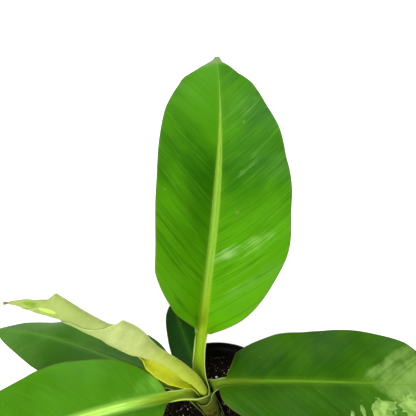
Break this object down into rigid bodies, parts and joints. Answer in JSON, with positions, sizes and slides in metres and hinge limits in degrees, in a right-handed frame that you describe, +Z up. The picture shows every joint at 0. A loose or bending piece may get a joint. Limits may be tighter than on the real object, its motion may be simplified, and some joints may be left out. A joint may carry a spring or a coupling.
{
  "type": "potted banana plant",
  "caption": "Young banana plant with broad waved leaves and a leaf still rolled up, in a round black nursery pot filled with soil.",
  "frame": {"origin": "centre of the pot's round underside, on the surface that it stands on", "axes": "+Z up, -Y towards the front that the picture shows, +X to the right as seen from there, along the span of the leaves"},
  "size_m": [0.4323, 0.3932, 0.3554],
  "materials": {
    "pot_plastic": "black, slightly worn satin",
    "soil": "dark damp peat with pale grains and brown fibres",
    "corm": "dull, light brown",
    "leaf_fresh": "bright green with a waxy satin shine and fine slanting veins",
    "leaf_old": "dark green with a waxy satin shine and fine slanting veins",
    "leaf_rolled": "pale yellow-green, satin, with fine cross veins"
  },
  "bodies": {
    "root": {"pot": "pot_plastic", "soil": "soil", "corm": "corm", "leaf_rolled": "leaf_rolled", "leaf_upright": "leaf_fresh", "leaf_front_left": "leaf_fresh", "leaf_right": "leaf_fresh", "leaf_left": "leaf_old", "leaf_back": "leaf_old"}
  },
  "joints": []
}
